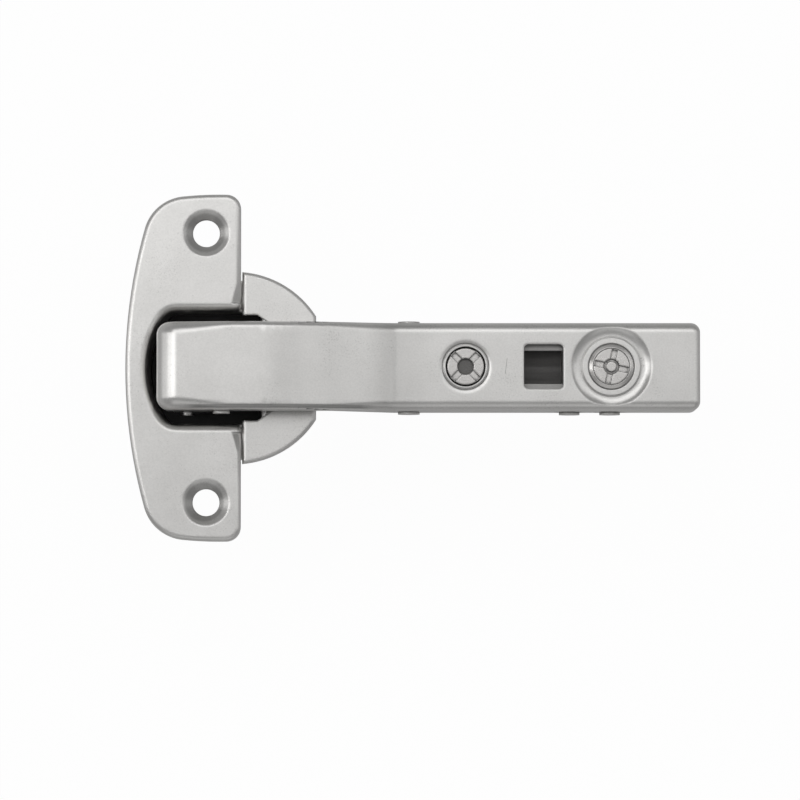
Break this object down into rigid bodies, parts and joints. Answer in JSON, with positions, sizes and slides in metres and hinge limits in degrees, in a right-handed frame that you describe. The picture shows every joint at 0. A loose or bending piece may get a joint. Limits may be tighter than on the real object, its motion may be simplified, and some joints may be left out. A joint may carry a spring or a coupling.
{
  "type": "concealed cup hinge",
  "caption": "Concealed cabinet hinge with drilled-in cup, wing plate, cranked clip-on arm and side and depth adjusting screws, shown closed.",
  "frame": {"origin": "middle of the two cup screw holes, on the door face", "axes": "+X along the arm away from the cup, +Y across the arm, +Z out of the cup's mouth"},
  "size_m": [0.1107, 0.067, 0.0233],
  "materials": {
    "nickel_steel": "satin nickel plate",
    "nickel_screw": "satin nickel plate",
    "zinc_steel": "zinc plate",
    "spring_steel": "bright",
    "dark_steel": "burnished",
    "black_plastic": "moulded"
  },
  "bodies": {
    "carrier": {"carrier": "zinc_steel", "latch_pin": "nickel_steel", "latch_spring": "spring_steel"},
    "guide": {"guide_pin": "nickel_steel"},
    "arm": {"hinge_arm": "nickel_steel", "middle_rivet": "nickel_steel", "arm_pin_front": "nickel_steel", "arm_pin_rear": "nickel_steel", "overlay_collar": "nickel_steel", "depth_collar": "nickel_steel"},
    "overlay_screw": {"overlay_screw": "nickel_screw"},
    "depth_cam": {"depth_cam": "nickel_screw"},
    "latch": {"clip_latch": "dark_steel"},
    "inner_lever": {"inner_lever": "zinc_steel"},
    "cup": {"hinge_cup": "nickel_steel", "cup_pin_inner": "nickel_steel", "cup_pin_outer": "nickel_steel", "closing_spring": "spring_steel", "cup_insert": "black_plastic"},
    "outer_lever": {"outer_lever": "zinc_steel"}
  },
  "joints": [
    {"name": "overlay_tilt", "type": "hinge", "parent": "carrier", "child": "guide", "pos_m": [0.0701, 0, -0.0016], "axis": [0, 1, 0], "range_deg": [-1.2, 1.2]},
    {"name": "depth_slide", "type": "slide", "parent": "guide", "child": "arm", "axis": [1, 0, 0], "range_m": [-0.00155, 0.00155]},
    {"name": "overlay_turn", "type": "hinge", "parent": "arm", "child": "overlay_screw", "pos_m": [0.05, 0, 0.0055], "axis": [0, 0, 1], "range_deg": [-230, 230]},
    {"name": "depth_turn", "type": "hinge", "parent": "arm", "child": "depth_cam", "pos_m": [0.078, 0, 0.0045], "axis": [0, 0, 1], "range_deg": [-50, 50]},
    {"name": "latch_press", "type": "hinge", "parent": "carrier", "child": "latch", "pos_m": [0.0779, 0, -0.0016], "axis": [0, -1, 0], "range_deg": [0, 6], "stiffness_Nm_per_rad": 0.02, "springref_deg": -8.59},
    {"name": "inner_lever_swing", "type": "hinge", "parent": "arm", "child": "inner_lever", "pos_m": [-0.0038, 0, -0.0034], "axis": [0, 1, 0], "range_deg": [0, 46.75]},
    {"name": "cup_swing", "type": "hinge", "parent": "inner_lever", "child": "cup", "pos_m": [0.0115, 0, -0.0034], "axis": [0, -1, 0], "range_deg": [0, 141.75], "stiffness_Nm_per_rad": 0.04, "springref_deg": -34.38},
    {"name": "outer_lever_swing", "type": "hinge", "parent": "cup", "child": "outer_lever", "pos_m": [0.0157, 0, -0.0035], "axis": [0, 1, 0], "range_deg": [0, 130.75]}
  ],
  "couplings": [
    {"joint": "inner_lever_swing", "follows": "cup_swing", "ratio": 0.32981},
    {"joint": "outer_lever_swing", "follows": "cup_swing", "ratio": 0.9224},
    {"joint": "depth_turn", "follows": "depth_slide", "rad_per_m": 556},
    {"joint": "overlay_turn", "follows": "overlay_tilt", "ratio": 180}
  ]
}
